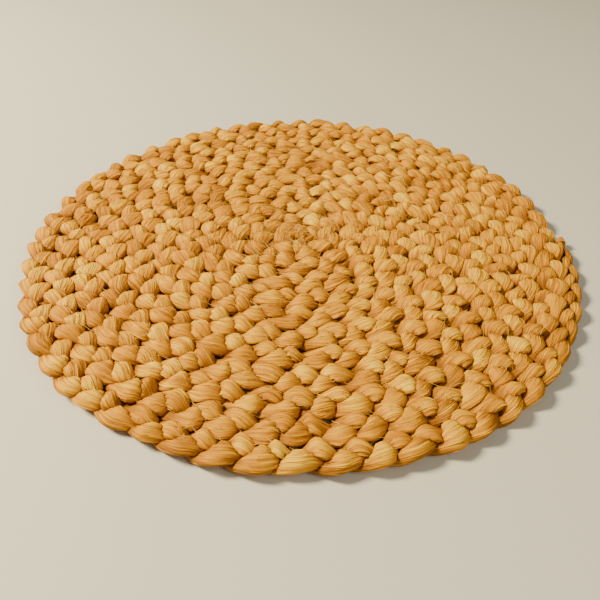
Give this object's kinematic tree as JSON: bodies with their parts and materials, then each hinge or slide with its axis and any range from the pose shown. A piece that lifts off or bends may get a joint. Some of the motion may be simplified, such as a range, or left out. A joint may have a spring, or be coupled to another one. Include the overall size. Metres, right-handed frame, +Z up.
{
  "type": "seat pad",
  "caption": "Round flat chair seat pad: a three-strand plant-fibre plait coiled in one spiral and sewn turn to turn, with bound ends.",
  "frame": {"origin": "middle of the pad's outline, on the plane that its underside rests on", "axes": "+Z up through the pad's thickness, +Y away from a viewer who stands in front, +X to their right"},
  "size_m": [0.3868, 0.3876, 0.0105],
  "materials": {
    "plait_fibre": "dried plant fibre, satin, straw gold",
    "sewing_twine": "thin plant-fibre twine, matt"
  },
  "bodies": {
    "root": {"strand_1": "plait_fibre", "strand_2": "plait_fibre", "strand_3": "plait_fibre", "sewing_thread": "sewing_twine", "start_binding": "sewing_twine", "end_binding": "sewing_twine"}
  },
  "joints": []
}
